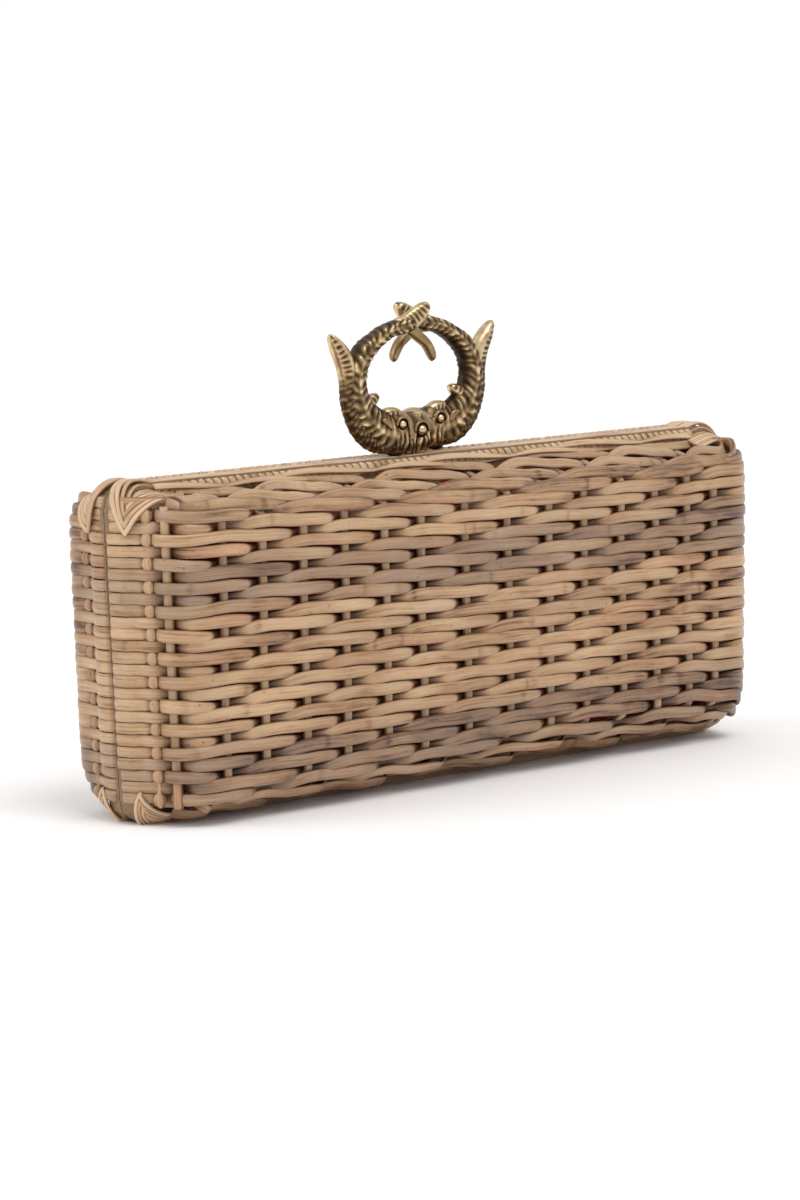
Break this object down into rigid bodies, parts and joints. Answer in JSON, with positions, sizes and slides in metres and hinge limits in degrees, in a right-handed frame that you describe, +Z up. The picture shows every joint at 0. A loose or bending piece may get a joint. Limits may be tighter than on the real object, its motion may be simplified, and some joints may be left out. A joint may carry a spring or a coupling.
{
  "type": "rattan clutch",
  "caption": "Woven rattan box clutch: trays hinged along the foot, lined with cloth, with a cast brass ring clasp of twin scaled sea creatures on the rims.",
  "frame": {"origin": "middle of the bag's foot, on the seam between its trays", "axes": "+X along the bag, +Y out of its back, +Z up"},
  "size_m": [0.2702, 0.0588, 0.1529],
  "materials": {
    "weave": "natural rattan peel",
    "rim": "natural rattan cane",
    "cane_wrap": "natural flat cane",
    "lining": "plain woven red cotton",
    "clasp_brass": "antiqued cast brass",
    "hinge_brass": "rolled brass",
    "magnet_steel": "nickel plate"
  },
  "bodies": {
    "back": {"back_basket": "weave", "back_rim": "rim", "back_lining": "lining", "back_wrap_top_left": "cane_wrap", "back_wrap_top_right": "cane_wrap", "back_wrap_bottom_left": "cane_wrap", "back_wrap_bottom_right": "cane_wrap", "back_hinge_leaves": "hinge_brass", "back_hinge_screws": "hinge_brass", "back_catch_magnets": "magnet_steel", "back_clasp_figure": "clasp_brass", "back_clasp_backing": "clasp_brass", "hinge_pins": "hinge_brass"},
    "front": {"front_basket": "weave", "front_rim": "rim", "front_lining": "lining", "front_wrap_top_left": "cane_wrap", "front_wrap_top_right": "cane_wrap", "front_wrap_bottom_left": "cane_wrap", "front_wrap_bottom_right": "cane_wrap", "front_hinge_leaves": "hinge_brass", "front_hinge_screws": "hinge_brass", "front_catch_magnets": "magnet_steel", "front_clasp_figure": "clasp_brass", "front_clasp_backing": "clasp_brass"}
  },
  "joints": [
    {"name": "tray_hinge", "type": "hinge", "parent": "back", "child": "front", "pos_m": [0, 0, 0.003], "axis": [1, 0, 0], "range_deg": [0, 90]}
  ]
}
